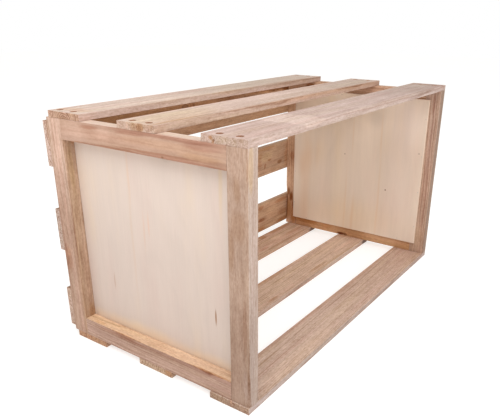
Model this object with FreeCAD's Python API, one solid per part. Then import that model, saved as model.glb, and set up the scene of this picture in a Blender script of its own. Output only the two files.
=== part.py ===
"""Slatted wooden crate, lying on one long side with its open mouth towards -Y.

Each end is a frame of two posts and two rails with a thin plywood panel on its inner face.
Three slats join the two ends along the top, three along the bottom and three across the
back, which is the crate's floor when it stands with its mouth up. Every slat is nailed to
the end frames with sunk nails, and the panels are held by brads.

Axes: X along the slats, mouth towards -Y, Z up. The origin is the bottom centre of the
crate's box. All lengths are millimetres.
"""
import FreeCAD, Part
import os

# Driving dimensions.
BODY_LENGTH = 541.0        # outer face of one end frame to the outer face of the other
FOOT_OVERHANG = 1.5        # how far the front bottom slat stands past the left end frame
FRAME_WIDTH = 292.0        # front to back, over the posts
FRAME_HEIGHT = 284.0       # over the posts
FRAME_DEPTH = 16.0         # thickness of posts and rails along the crate
POST_WIDTH = 25.0
RAIL_HEIGHT = 24.0
SLAT_WIDTH = 55.0
SLAT_THICKNESS = 8.0
PANEL_THICKNESS = 4.0
PANEL_WIDTH = 256.0
PANEL_HEIGHT = 252.0
PANEL_FRONT_GAP = 16.5     # front face of the posts to the panel's front edge
PANEL_BOTTOM_GAP = 17.0    # bottom of the end frame to the panel's bottom edge

# Distance of each slat from the frame's front, or from its bottom for the back slats.
TOP_SLAT_OFFSETS = {"front": 0.0, "middle": 115.5, "back": 232.0}
BOTTOM_SLAT_OFFSETS = {"front": 0.0, "middle": 115.0, "back": 231.5}
BACK_SLAT_OFFSETS = {"bottom": 5.5, "middle": 115.0, "top": 224.0}

# Nails: two at each end of each slat, sunk below the slat's face in a round pocket.
NAIL_LENGTH = 25.0
NAIL_RADIUS = 1.0
NAIL_TIP = 2.0
NAIL_HEAD_RADIUS = 2.2
NAIL_HEAD_THICKNESS = 1.0
NAIL_SPACING = 24.0
NAIL_INSET = 10.0          # slat end to nail, top and bottom slats
BACK_NAIL_INSET = 7.0      # slat end to nail, back slats, so that nails in a post don't meet
POCKET_RADIUS = 3.0
POCKET_DEPTH = 2.5
TOP_NAIL_SHIFTS = {"front": 0.5, "middle": 2.0, "back": 6.0}   # pair's centre off the slat's

# Panel brads, flush with the panel's inner face, and corner staples under the panel.
BRAD_LENGTH = 15.0
BRAD_RADIUS = 0.6
BRAD_TIP = 1.5
BRAD_EDGE_INSET = 3.0
BRADS_PER_EDGE = 4
STAPLE_CROWN = 8.0
STAPLE_LEG = 9.0
STAPLE_WIRE = 1.0
STAPLE_HEIGHT = 21.0       # staple's centre from the top or bottom of the end frame

# Derived places.
CRATE_LENGTH = BODY_LENGTH + FOOT_OVERHANG
LEFT_X = FOOT_OVERHANG - CRATE_LENGTH / 2
RIGHT_X = CRATE_LENGTH / 2
FRONT_Y = -(FRAME_WIDTH + SLAT_THICKNESS) / 2
FRAME_BACK_Y = FRONT_Y + FRAME_WIDTH
BACK_Y = FRAME_BACK_Y + SLAT_THICKNESS
FRAME_BOTTOM_Z = SLAT_THICKNESS
FRAME_TOP_Z = FRAME_BOTTOM_Z + FRAME_HEIGHT
TOP_Z = FRAME_TOP_Z + SLAT_THICKNESS

X_AXIS = FreeCAD.Vector(1, 0, 0)
Y_AXIS = FreeCAD.Vector(0, 1, 0)
Z_AXIS = FreeCAD.Vector(0, 0, 1)


def block(low, high):
    """Box between two opposite corners."""
    size = [top - bottom for bottom, top in zip(low, high)]
    return Part.makeBox(size[0], size[1], size[2], FreeCAD.Vector(*low))


def end_span(outer_x, inward, near, far):
    """X range that lies from near to far inside an end frame's outer face."""
    return sorted((outer_x + inward * near, outer_x + inward * far))


def end_timbers(side, outer_x, inward):
    """Posts, rails and panel of one end; the rails stand between the posts."""
    low_x, high_x = end_span(outer_x, inward, 0, FRAME_DEPTH)
    front_inner = FRONT_Y + POST_WIDTH
    back_inner = FRAME_BACK_Y - POST_WIDTH
    rail_top = FRAME_BOTTOM_Z + RAIL_HEIGHT
    rail_bottom = FRAME_TOP_Z - RAIL_HEIGHT
    panel_x = end_span(outer_x, inward, FRAME_DEPTH, FRAME_DEPTH + PANEL_THICKNESS)
    panel_y = FRONT_Y + PANEL_FRONT_GAP
    panel_z = FRAME_BOTTOM_Z + PANEL_BOTTOM_GAP
    return {
        side + "_front_post": block((low_x, FRONT_Y, FRAME_BOTTOM_Z),
                                    (high_x, front_inner, FRAME_TOP_Z)),
        side + "_back_post": block((low_x, back_inner, FRAME_BOTTOM_Z),
                                   (high_x, FRAME_BACK_Y, FRAME_TOP_Z)),
        side + "_bottom_rail": block((low_x, front_inner, FRAME_BOTTOM_Z),
                                     (high_x, back_inner, rail_top)),
        side + "_top_rail": block((low_x, front_inner, rail_bottom),
                                  (high_x, back_inner, FRAME_TOP_Z)),
        side + "_panel": block((panel_x[0], panel_y, panel_z),
                               (panel_x[1], panel_y + PANEL_WIDTH, panel_z + PANEL_HEIGHT)),
    }


def top_slats():
    """Slats along the top, by node name."""
    slats = {}
    for place, offset in TOP_SLAT_OFFSETS.items():
        y = FRONT_Y + offset
        slats["top_slat_" + place] = block((LEFT_X, y, FRAME_TOP_Z), (RIGHT_X, y + SLAT_WIDTH, TOP_Z))
    return slats


def bottom_slats():
    """Slats along the bottom; the front one stands a little past the left end."""
    slats = {}
    for place, offset in BOTTOM_SLAT_OFFSETS.items():
        y = FRONT_Y + offset
        left = LEFT_X - FOOT_OVERHANG if place == "front" else LEFT_X
        slats["bottom_slat_" + place] = block((left, y, 0), (RIGHT_X, y + SLAT_WIDTH, FRAME_BOTTOM_Z))
    return slats


def back_slats():
    """Slats across the back, by node name."""
    slats = {}
    for place, offset in BACK_SLAT_OFFSETS.items():
        z = FRAME_BOTTOM_Z + offset
        slats["back_slat_" + place] = block((LEFT_X, FRAME_BACK_Y, z), (RIGHT_X, BACK_Y, z + SLAT_WIDTH))
    return slats


def nail_pair(centre):
    """Two places either side of a centre, along a slat's width."""
    return (centre - NAIL_SPACING / 2, centre + NAIL_SPACING / 2)


def slat_nail_sites():
    """Face point and driving direction of every slat nail, by node name."""
    sites = {"top_slat_nails": [], "bottom_slat_nails": [], "back_slat_nails": []}
    for x in (LEFT_X + NAIL_INSET, RIGHT_X - NAIL_INSET):
        for place, offset in TOP_SLAT_OFFSETS.items():
            for y in nail_pair(FRONT_Y + offset + SLAT_WIDTH / 2 + TOP_NAIL_SHIFTS[place]):
                sites["top_slat_nails"].append((FreeCAD.Vector(x, y, TOP_Z), -Z_AXIS))
        for offset in BOTTOM_SLAT_OFFSETS.values():
            for y in nail_pair(FRONT_Y + offset + SLAT_WIDTH / 2):
                sites["bottom_slat_nails"].append((FreeCAD.Vector(x, y, 0), Z_AXIS))
    for x in (LEFT_X + BACK_NAIL_INSET, RIGHT_X - BACK_NAIL_INSET):
        for offset in BACK_SLAT_OFFSETS.values():
            for z in nail_pair(FRAME_BOTTOM_Z + offset + SLAT_WIDTH / 2):
                sites["back_slat_nails"].append((FreeCAD.Vector(x, BACK_Y, z), -Y_AXIS))
    return sites


def pin(start, direction, radius, length, tip):
    """Round pin with a conical point, driven from start along direction."""
    shank = Part.makeCylinder(radius, length - tip, start, direction)
    point = Part.makeCone(radius, 0, tip, start + direction * (length - tip), direction)
    return shank.fuse(point)


def nail(face_point, direction):
    """Nail whose head rests on the bottom of its pocket."""
    head_top = face_point + direction * (POCKET_DEPTH - NAIL_HEAD_THICKNESS)
    head = Part.makeCylinder(NAIL_HEAD_RADIUS, NAIL_HEAD_THICKNESS, head_top, direction)
    return head.fuse(pin(head_top, direction, NAIL_RADIUS, NAIL_LENGTH, NAIL_TIP)).removeSplitter()


def pocket(face_point, direction):
    """Round pocket that a slat nail's head is sunk in."""
    return Part.makeCylinder(POCKET_RADIUS, POCKET_DEPTH, face_point, direction)


def panel_brads(outer_x, inward):
    """Brads along the four edges of one end's panel, driven outwards into the frame."""
    x = outer_x + inward * (FRAME_DEPTH + PANEL_THICKNESS)
    low_y = FRONT_Y + PANEL_FRONT_GAP
    low_z = FRAME_BOTTOM_Z + PANEL_BOTTOM_GAP
    places = []
    for index in range(BRADS_PER_EDGE):
        share = (index + 0.5) / BRADS_PER_EDGE
        y = low_y + PANEL_WIDTH * share
        z = low_z + PANEL_HEIGHT * share
        places.append((y, low_z + BRAD_EDGE_INSET))
        places.append((y, low_z + PANEL_HEIGHT - BRAD_EDGE_INSET))
        places.append((low_y + BRAD_EDGE_INSET, z))
        places.append((low_y + PANEL_WIDTH - BRAD_EDGE_INSET, z))
    return [pin(FreeCAD.Vector(x, y, z), X_AXIS * -inward, BRAD_RADIUS, BRAD_LENGTH, BRAD_TIP)
            for y, z in places]


def staple(joint_y, z, outer_x, inward):
    """Staple across a post and rail joint, its crown flush with the frame's inner face."""
    crown_x = end_span(outer_x, inward, FRAME_DEPTH - STAPLE_WIRE, FRAME_DEPTH)
    leg_x = end_span(outer_x, inward, FRAME_DEPTH - STAPLE_LEG, FRAME_DEPTH)
    low_z = z - STAPLE_WIRE / 2
    high_z = z + STAPLE_WIRE / 2
    low_y = joint_y - STAPLE_CROWN / 2
    high_y = joint_y + STAPLE_CROWN / 2
    crown = block((crown_x[0], low_y, low_z), (crown_x[1], high_y, high_z))
    front_leg = block((leg_x[0], low_y, low_z), (leg_x[1], low_y + STAPLE_WIRE, high_z))
    back_leg = block((leg_x[0], high_y - STAPLE_WIRE, low_z), (leg_x[1], high_y, high_z))
    return crown.fuse([front_leg, back_leg]).removeSplitter()


def corner_staples(outer_x, inward):
    """The four staples of one end frame."""
    joints = (FRONT_Y + POST_WIDTH, FRAME_BACK_Y - POST_WIDTH)
    heights = (FRAME_BOTTOM_Z + STAPLE_HEIGHT, FRAME_TOP_Z - STAPLE_HEIGHT)
    return [staple(y, z, outer_x, inward) for y in joints for z in heights]


def fastener_groups():
    """Every fastener as its own solid, grouped by node name."""
    groups = {name: [nail(*site) for site in sites] for name, sites in slat_nail_sites().items()}
    for side, outer_x, inward in (("left", LEFT_X, 1), ("right", RIGHT_X, -1)):
        groups[side + "_panel_brads"] = panel_brads(outer_x, inward)
        groups[side + "_corner_staples"] = corner_staples(outer_x, inward)
    return groups


def drilled(timber, tools):
    """Timber with a hole wherever a fastener or pocket passes through it."""
    hits = [tool for tool in tools if timber.BoundBox.intersect(tool.BoundBox)]
    return timber.cut(hits) if hits else timber


def build():
    """Every node of the crate, by name."""
    timbers = end_timbers("left", LEFT_X, 1)
    timbers.update(end_timbers("right", RIGHT_X, -1))
    timbers.update(top_slats())
    timbers.update(bottom_slats())
    timbers.update(back_slats())
    fasteners = fastener_groups()
    tools = [solid for group in fasteners.values() for solid in group]
    tools += [pocket(*site) for sites in slat_nail_sites().values() for site in sites]
    nodes = {name: drilled(timber, tools) for name, timber in timbers.items()}
    nodes.update({name: Part.makeCompound(group) for name, group in fasteners.items()})
    return nodes


def write_parts(nodes):
    """One STEP file for each node."""
    os.makedirs("parts", exist_ok=True)
    for name, shape in nodes.items():
        shape.exportStep("parts/" + name + ".step")


write_parts(build())
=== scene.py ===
import math
import bmesh
import bpy
import numpy as np
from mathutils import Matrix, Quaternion, Vector


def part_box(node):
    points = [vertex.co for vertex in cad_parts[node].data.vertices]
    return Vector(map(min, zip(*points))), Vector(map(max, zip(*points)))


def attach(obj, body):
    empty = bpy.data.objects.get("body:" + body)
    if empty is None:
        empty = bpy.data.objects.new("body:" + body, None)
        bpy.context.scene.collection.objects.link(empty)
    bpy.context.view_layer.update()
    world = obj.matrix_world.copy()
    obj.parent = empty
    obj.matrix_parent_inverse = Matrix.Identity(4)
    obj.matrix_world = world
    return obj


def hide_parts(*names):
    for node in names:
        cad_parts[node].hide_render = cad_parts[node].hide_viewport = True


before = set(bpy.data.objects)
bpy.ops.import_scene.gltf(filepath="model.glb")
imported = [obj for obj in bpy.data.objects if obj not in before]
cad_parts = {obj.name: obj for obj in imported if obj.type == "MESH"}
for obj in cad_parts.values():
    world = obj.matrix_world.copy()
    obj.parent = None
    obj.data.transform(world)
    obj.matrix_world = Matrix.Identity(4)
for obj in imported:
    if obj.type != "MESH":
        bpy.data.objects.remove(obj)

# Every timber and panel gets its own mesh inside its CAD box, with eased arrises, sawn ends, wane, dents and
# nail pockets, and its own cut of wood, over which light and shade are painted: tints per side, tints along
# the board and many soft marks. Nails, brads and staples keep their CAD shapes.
"""Looks of a slatted wooden crate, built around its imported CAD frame.

Every timber and panel gets its own mesh inside its CAD box, with eased arrises, sawn ends, wane,
dents and nail pockets, and its own cut of wood. Nails, brads and staples keep their CAD shapes.
Meshes are in metres. A timber's board millimetres run from its middle along the grain, across the
wide face and through the thickness.
"""

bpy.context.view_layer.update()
MM = 0.001
X, Y, Z = 0, 1, 2


def board_axes(node):
    """Axes along, across and through a timber."""
    if "panel" in node or "post" in node:
        return Z, Y, X
    if "rail" in node:
        return Y, Z, X
    return (X, Z, Y) if node.startswith("back") else (X, Y, Z)


# ---------------------------------------------------------------- shapes

ARRIS = 0.30                 # usual rounding of an edge, in millimetres
CRISP_ENDS = 0.4             # share of that rounding left at a freshly sawn end
EDGE_MARKS = (0, 0.25, 0.6, 1.1, 1.8, 2.8)
STEP_ALONG, STEP_ACROSS = 4.0, 2.0
PANEL_ROWS = 120             # about the most lattice rows across a wide panel
WANE_SEED, DENT_SEED = 30, 60        # added to a timber's seed, so that its faults differ
FAULT_STEP = 3               # between the seeds of two wanes or dents
SHARP_ANGLE = math.radians(38)
POCKET_RINGS = ((1.0, 4.1), (0.0, 4.1), (-0.9, 3.7), (-2.5, 2.9))      # height and radius
POCKET_SIDES = 22


def wobble(points, seed, wavelength):
    """Smooth noise of about unit size at each point, the same on every run."""
    rng = np.random.default_rng(seed)
    total = np.zeros(len(points))
    waves = 7
    for _ in range(waves):
        direction = rng.normal(size=3)
        direction /= np.linalg.norm(direction) * wavelength * rng.uniform(0.6, 1.6)
        total += np.sin(2 * math.pi * (points @ direction) + rng.uniform(0, 2 * math.pi))
    return total * math.sqrt(2 / waves)


def stations(half, step):
    """Lattice places from -half to half: close together near both ends, then about a step apart."""
    marks = np.array([mark for mark in EDGE_MARKS if mark < half * 0.8])
    inner = half - marks[-1]
    count = max(2, int(round(2 * inner / step)) + 1)
    ends = marks[:-1]
    return np.concatenate([ends - half, np.linspace(-inner, inner, count), (half - ends)[::-1]])


def lattice(places):
    """Points and outward quads on the six sides of a lattice."""
    shape = [len(p) for p in places]
    on_side = np.zeros(shape, bool)
    for axis in range(3):
        for end in (0, -1):
            on_side[(slice(None),) * axis + (end,)] = True
    number = -np.ones(shape, int)
    number[on_side] = np.arange(on_side.sum())
    points = np.stack(np.meshgrid(*places, indexing="ij"), -1)[on_side]
    quads = []
    for axis in range(3):
        for end in (0, -1):
            side = number[(slice(None),) * axis + (end,)]
            corners = [side[:-1, :-1], side[1:, :-1], side[1:, 1:], side[:-1, 1:]]
            flip = (end == 0) != (axis == 1)
            order = corners[::-1] if flip else corners
            quads.append(np.stack(order, -1).reshape(-1, 4))
    return points, np.concatenate(quads)


def round_arrises(points, half, radius):
    """Pulls the points near the edges onto a rounding of the given radius at each point."""
    inner = half - radius[:, None]
    core = np.clip(points, -inner, inner)
    out = points - core
    length = np.linalg.norm(out, axis=1, keepdims=True)
    beyond = (np.abs(out) > 1e-6).sum(1, keepdims=True) > 1
    return np.where(beyond, core + out / np.maximum(length, 1e-9) * radius[:, None], points)


def cut_wane(points, half, wane, seed):
    """Cuts a waney strip off one long edge. Returns how deep in the strip each point lay."""
    side_v, side_w = wane["edge"]
    size = np.interp(points[:, 0], wane["at"], wane["size"])
    size = size * (1 + 0.2 * wobble(points, seed, 30) + 0.12 * wobble(points, seed + 1, 7))
    cut = np.maximum(size, 1e-3)
    gap_v, gap_w = half[1] - side_v * points[:, 1], half[2] - side_w * points[:, 2]
    inside = np.clip(1 - gap_v / cut - gap_w / cut, 0, None)
    inside = np.where(size > 0.15, inside, 0)
    scale = inside / (2 * cut ** -2)
    points[:, 1] -= side_v * scale / cut
    points[:, 2] -= side_w * scale / cut
    return np.clip(inside * 3, 0, 1)


def press(points, half, dent, seed):
    """Pushes a rough hollow into one side of a timber. Returns how torn each point is."""
    axis, side = dent["side"]
    apart = np.delete((points - np.array(dent["at"])) / np.array(dent["reach"]), axis, axis=1)
    near = np.clip(1 - (half[axis] - side * points[:, axis]) / (3 * dent["depth"] + 0.5), 0, 1) ** 2
    share = np.exp(-(np.abs(apart) ** 2.6).sum(1))
    rough = np.clip(1 + 0.3 * wobble(points * np.roll((0, 1, 1), axis), seed, 3.5), 0.2, 1.8)
    points[:, axis] -= side * dent["depth"] * share * rough * near
    return np.clip(share * near * 1.4, 0, 1) * dent["torn"]


def weather(points, half, seed):
    """Planed and sawn faces: slight hollows along the grain, and rough ends."""
    slow = points * (0.25, 1, 1)
    for axis in (1, 2):
        near = np.clip(np.abs(points[:, axis]) / half[axis], 0, 1) ** 8
        depth = 0.12 * np.clip(0.5 + 0.5 * wobble(slow, seed + axis, 45), 0, 1)
        points[:, axis] -= np.sign(points[:, axis]) * near * depth
    near = np.clip(1 - (half[0] - np.abs(points[:, 0])) / 20, 0, 1) ** 2
    depth = 0.08 * np.clip(1 + wobble(points * (0, 1, 1), seed + 5, 4), 0, 2)
    points[:, 0] -= np.sign(points[:, 0]) * near * depth


def timber_mesh(name, centre, half, axes, seed, wanes, dents):
    """Mesh of one timber, with a point attribute that says where it is waney or torn."""
    steps = (STEP_ALONG, max(STEP_ACROSS, 2 * half[1] / PANEL_ROWS), STEP_ACROSS)
    points, quads = lattice([stations(h, s) for h, s in zip(half, steps)])
    torn = np.zeros(len(points))
    for index, wane in enumerate(wanes):
        torn = np.maximum(torn, cut_wane(points, half, wane, seed + WANE_SEED + FAULT_STEP * index))
    radius = ARRIS * (1 + 0.35 * wobble(points * (0.25, 1, 1), seed, 20))
    crisp = np.interp(half[0] - np.abs(points[:, 0]), (0.5, 4.0), (CRISP_ENDS, 1.0))
    points = round_arrises(points, half, np.clip(radius, 0.2, 1.0) * crisp)
    weather(points, half, seed)
    for index, dent in enumerate(dents):
        torn = np.maximum(torn, press(points, half, dent, seed + DENT_SEED + FAULT_STEP * index))
    placed = np.empty_like(points)
    for column, axis in enumerate(axes):
        placed[:, axis] = points[:, column] * MM + centre[axis]
    if np.linalg.det(np.eye(3)[list(axes)]) < 0:
        quads = quads[:, ::-1]
    mesh = bpy.data.meshes.new(name)
    mesh.from_pydata(placed.tolist(), [], quads.tolist())
    mesh.attributes.new("torn", "FLOAT", "POINT").data.foreach_set("value", torn.astype(np.float32))
    mesh.polygons.foreach_set("use_smooth", [True] * len(mesh.polygons))
    mesh.update()
    return mesh


def pocket_cutter(places, axis, side, seed):
    """Slightly uneven plugs, flared at the rim, that cut the nail pockets of one slat."""
    rng = np.random.default_rng(seed)
    points, faces = [], []
    turns = range(POCKET_SIDES)
    for place in places:
        first = len(points)
        uneven = 1 + 0.05 * rng.normal(size=POCKET_SIDES)
        for height, radius in POCKET_RINGS:
            for turn in turns:
                angle = 2 * math.pi * turn / POCKET_SIDES
                reach = radius * MM * uneven[turn]
                flat = [reach * math.cos(angle), reach * math.sin(angle)]
                flat.insert(axis, side * height * MM)
                points.append(np.array(place) + flat)
        for ring in range(len(POCKET_RINGS) - 1):
            start = first + ring * POCKET_SIDES
            for turn in turns:
                here, after = start + turn, start + (turn + 1) % POCKET_SIDES
                faces.append([here, after, after + POCKET_SIDES, here + POCKET_SIDES])
        faces.append(list(range(first, first + POCKET_SIDES))[::-1])
        faces.append(list(range(len(points) - POCKET_SIDES, len(points))))
    mesh = bpy.data.meshes.new("pockets")
    mesh.from_pydata([list(p) for p in points], [], faces)
    fix_normals(mesh)
    obj = bpy.data.objects.new("pockets", mesh)
    bpy.context.scene.collection.objects.link(obj)
    return obj


def cut_pockets(piece, cutter, material):
    """Takes the cutter out of the piece; the new faces get the given material."""
    piece.data.materials.append(material)
    cutter.data.polygons.foreach_set("material_index", [1] * len(cutter.data.polygons))
    knife = piece.modifiers.new("pockets", "BOOLEAN")
    knife.operation = "DIFFERENCE"
    knife.solver = "EXACT"
    knife.object = cutter
    bpy.context.view_layer.update()
    graph = bpy.context.evaluated_depsgraph_get()
    mesh = bpy.data.meshes.new_from_object(piece.evaluated_get(graph))
    piece.modifiers.clear()
    piece.data = mesh
    bpy.data.objects.remove(cutter)


def fix_normals(mesh):
    """Turns every face of a closed mesh outwards."""
    shell = bmesh.new()
    shell.from_mesh(mesh)
    bmesh.ops.recalc_face_normals(shell, faces=shell.faces)
    shell.to_mesh(mesh)
    shell.free()


def sharpen(mesh, limit):
    """Marks the edges that turn more than the limit as sharp."""
    shell = bmesh.new()
    shell.from_mesh(mesh)
    for edge in shell.edges:
        edge.smooth = not (len(edge.link_faces) == 2 and edge.calc_face_angle(0) > limit)
    shell.to_mesh(mesh)
    shell.free()


# ---------------------------------------------------------------- wood

class Nodes:
    """Short ways to add shader nodes to one tree. An input is a socket or a plain value."""

    def __init__(self, tree):
        self.tree = tree

    def fill(self, node, values):
        for key, value in values.items():
            socket = node.inputs[key]
            if isinstance(value, bpy.types.NodeSocket):
                self.tree.links.new(value, socket)
            else:
                socket.default_value = value
        return node

    def add(self, kind, values=(), **settings):
        node = self.tree.nodes.new(kind)
        for key, value in settings.items():
            setattr(node, key, value)
        return self.fill(node, dict(values))

    def group(self, tree, **values):
        return self.fill(self.add("ShaderNodeGroup", node_tree=tree), values).outputs

    def math(self, operation, a, b=0.0, c=0.0, clamp=False):
        return self.add("ShaderNodeMath", {0: a, 1: b, 2: c}, operation=operation, use_clamp=clamp).outputs[0]

    def vector(self, operation, a, b=(0, 0, 0)):
        node = self.add("ShaderNodeVectorMath", {0: a, 1: b}, operation=operation)
        return node.outputs["Value" if operation in ("LENGTH", "DOT_PRODUCT") else "Vector"]

    def noise(self, vector, detail=2.0, roughness=0.5, output="Fac"):
        values = {"Vector": vector, "Scale": 1.0, "Detail": detail, "Roughness": roughness}
        return self.add("ShaderNodeTexNoise", values).outputs[output]

    def swing(self, vector, detail=2.0, roughness=0.5):
        """Noise from about -1 to 1."""
        return self.math("MULTIPLY_ADD", self.noise(vector, detail, roughness), 4.0, -2.0)

    def split(self, vector):
        return self.add("ShaderNodeSeparateXYZ", {0: vector}).outputs

    def join(self, x, y, z):
        return self.add("ShaderNodeCombineXYZ", {0: x, 1: y, 2: z}).outputs[0]

    def mix(self, share, a, b, blend="MIX"):
        node = self.add("ShaderNodeMix", {0: share, 6: a, 7: b}, data_type="RGBA", blend_type=blend)
        return node.outputs[2]

    def step(self, value, low, high, from_value=0.0, to_value=1.0):
        values = {0: value, 1: low, 2: high, 3: from_value, 4: to_value}
        return self.add("ShaderNodeMapRange", values, interpolation_type="SMOOTHSTEP").outputs[0]

    def shade(self, color, amount):
        """Color made lighter or darker by a factor."""
        return self.mix(1.0, color, self.join(amount, amount, amount), "MULTIPLY")


def new_group(name, inputs, outputs):
    """An empty shader group. An input given as a tuple is a vector, any other a number."""
    tree = bpy.data.node_groups.new(name, "ShaderNodeTree")
    for key, value in inputs.items():
        kind = "NodeSocketVector" if isinstance(value, tuple) else "NodeSocketFloat"
        tree.interface.new_socket(key, in_out="INPUT", socket_type=kind).default_value = value
    for key in outputs:
        kind = "NodeSocketVector" if key == "Warped" else "NodeSocketFloat"
        tree.interface.new_socket(key, in_out="OUTPUT", socket_type=kind)
    return tree, Nodes(tree)


def figure_group():
    """Figure of sawn wood in board millimetres: rings about a leaning pith, streaks, blotches, fibres.

    Ring and Pore run from 0 to 1, the other shares from about -1 to 1. Warped is the place moved
    about a little, for marks with natural edges.
    """
    inputs = {"Place": (0, 0, 0), "Seed": (0, 0, 0), "Pith": (0, 10, 40), "Lean": (0, 0, 0), "Width": 4.0,
              "Wave": 3.0, "Shift": 0.0}
    outputs = ("Ring", "Streak", "Blotch", "Tint", "Fibre", "Pore", "Speck", "Warped")
    tree, n = new_group("wood_figure", inputs, outputs)
    start = n.add("NodeGroupInput").outputs
    place = start["Place"]
    away = n.vector("ADD", place, start["Seed"])

    def features(along, across, through):
        return n.vector("DIVIDE", away, (along, across, through))

    drift = n.vector("SUBTRACT", n.noise(features(170, 50, 50), 2.0, output="Color"), (0.5, 0.5, 0.5))
    ripple = n.vector("SUBTRACT", n.noise(features(36, 10, 10), 2.0, output="Color"), (0.5, 0.5, 0.5))
    wave = n.join(0.0, start["Wave"], start["Wave"])
    moved = n.vector("ADD", n.vector("MULTIPLY", drift, (4, 4, 4)),
                     n.vector("MULTIPLY", ripple, (0.7, 0.7, 0.7)))
    pushed = n.vector("MULTIPLY", moved, wave)
    u, _, _ = n.split(place)
    pith = n.vector("ADD", start["Pith"], n.vector("MULTIPLY", n.join(u, u, u), start["Lean"]))
    apart = n.vector("MULTIPLY", n.vector("SUBTRACT", n.vector("ADD", place, pushed), pith), (0, 1, 1))
    radius = n.math("ADD", n.vector("LENGTH", apart), start["Shift"])
    seed_u, _, _ = n.split(start["Seed"])
    uneven = n.noise(n.join(n.math("DIVIDE", radius, 9.0), seed_u, 0.0), 1.0)
    phase = n.math("MULTIPLY_ADD", uneven, 3.0, n.math("DIVIDE", radius, start["Width"]))
    share = n.math("FRACT", phase)
    late = n.math("SUBTRACT", n.step(share, 0.3, 0.84), n.step(share, 0.86, 1.0))
    strength = n.noise(n.join(n.math("MULTIPLY", n.math("FLOOR", phase), 0.73), seed_u, 0.0), 0.0)
    faded = n.step(n.noise(features(60, 9, 9), 2.0), 0.3, 0.6, 0.35, 1.0)
    ring = n.math("MULTIPLY", n.math("MULTIPLY", late, faded), n.step(strength, 0.3, 0.7, 0.15, 1.0))
    warped = n.vector("ADD", place, n.vector("ADD", n.vector("MULTIPLY", drift, (30, 7, 7)),
                                             n.vector("MULTIPLY", ripple, (9, 2.6, 2.6))))
    n.add("NodeGroupOutput", {
        "Ring": ring,
        "Streak": n.swing(features(110, 2.6, 2.6), 3.0, 0.55),
        "Blotch": n.swing(features(30, 9, 9), 3.0, 0.6),
        "Tint": n.swing(features(230, 13, 13), 2.0),
        "Fibre": n.swing(features(20, 1.2, 1.2), 3.0, 0.6),
        "Pore": n.step(n.noise(features(8, 1.1, 1.1), 2.0), 0.52, 0.68),
        "Speck": n.swing(features(4.0, 1.8, 1.8), 2.0, 0.7),
        "Warped": warped})
    return tree


def mark_group():
    """Share of a soft-edged mark at a place; Edge is how soft it is."""
    inputs = {"Place": (0, 0, 0), "At": (0, 0, 0), "Reach": (1, 1, 1), "Edge": 0.35}
    tree, n = new_group("mark", inputs, ("Share",))
    start = n.add("NodeGroupInput").outputs
    away = n.vector("SUBTRACT", start["Place"], start["At"])
    apart = n.vector("LENGTH", n.vector("DIVIDE", away, start["Reach"]))
    outer, inner = n.math("ADD", 1.0, start["Edge"]), n.math("SUBTRACT", 1.0, start["Edge"])
    n.add("NodeGroupOutput", {"Share": n.step(apart, inner, outer, 1.0, 0.0)})
    return tree


def knot_group():
    """A knot: how far it pushes the rings aside at a place, and how much of it shows there."""
    inputs = {"Place": (0, 0, 0), "At": (0, 0, 0), "Size": 4.0, "Stretch": (1, 1, 1)}
    tree, n = new_group("knot", inputs, ("Push", "Core", "Rim"))
    start = n.add("NodeGroupInput").outputs
    size = start["Size"]
    apart = n.vector("DIVIDE", n.vector("SUBTRACT", start["Place"], start["At"]), start["Stretch"])
    lumps = n.swing(n.vector("DIVIDE", start["Place"], (3, 3, 3)))
    ragged = n.math("MULTIPLY", lumps, n.math("MULTIPLY", size, 0.15))
    reach = n.math("DIVIDE", n.math("ADD", n.vector("LENGTH", apart), ragged), size)
    fading = n.math("EXPONENT", n.math("MULTIPLY", n.math("MULTIPLY", reach, reach), -0.22))
    rim = n.math("MULTIPLY", n.step(reach, 0.55, 0.95), n.step(reach, 1.0, 1.5, 1.0, 0.0))
    n.add("NodeGroupOutput", {"Push": n.math("MULTIPLY", n.math("MULTIPLY", fading, size), 1.6),
                              "Core": n.step(reach, 0.75, 1.15, 1.0, 0.0), "Rim": rim})
    return tree


FIGURE = figure_group()
MARK = mark_group()
KNOT = knot_group()
KNOT_HEART, KNOT_BARK = (0.26, 0.12, 0.055, 1), (0.17, 0.075, 0.035, 1)
PORE_TINT = (0.62, 0.48, 0.38, 1)
CORE_TINT = (0.80, 0.68, 0.58, 1)    # the middle ply, against the two outer ones
TONE_START = 0.30            # share of deep wood where there is no figure
SHEET_STRETCH = (0.6, 0.4, 0.4)      # veneer has a broader figure than sawn wood


def place_nodes(n, centre, axes):
    """Board millimetres at the shaded point, from the mesh's own coordinates."""
    own = n.add("ShaderNodeTexCoord").outputs["Object"]
    near = n.vector("MULTIPLY", n.vector("SUBTRACT", own, tuple(centre)), (1 / MM,) * 3)
    parts = n.split(near)
    return n.join(*[parts[axis] for axis in axes])


def side_share(n, axes, column, side):
    """1 on the side of the timber that faces the given way, else 0."""
    way = [0, 0, 0]
    way[axes[column]] = side
    normal = n.add("ShaderNodeNewGeometry").outputs["Normal"]
    return n.step(n.vector("DOT_PRODUCT", normal, tuple(way)), 0.5, 0.85)


def paint_side_light(n, color, axes, sides):
    """Painted light and shade: each side of a board gets its own tint, lighter or darker for how light falls
    on that side; a side is (column, sign).
    """
    for (column, side), tint in sides.items():
        color = n.mix(side_share(n, axes, column, side), color, tuple(tint) + (1,), "MULTIPLY")
    return color


def lay_marks_and_painted_light(n, color, place, look):
    """Tints soft-edged patches and streaks: (at, reach, tint) and how soft the edge is. Some are the wood's
    own streaks and stains; many are painted shade, painted shadow and painted highlights.
    """
    through, deep = look["face"]
    for at, reach, tint, *edge in look["marks"]:
        at, reach = (at + (through,))[:3], (reach + (deep,))[:3]
        share = n.group(MARK, Place=place, At=at, Reach=reach, Edge=edge[0] if edge else 0.4)["Share"]
        color = n.mix(share, color, tuple(tint) + (1,), "MULTIPLY")
    return color


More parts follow.
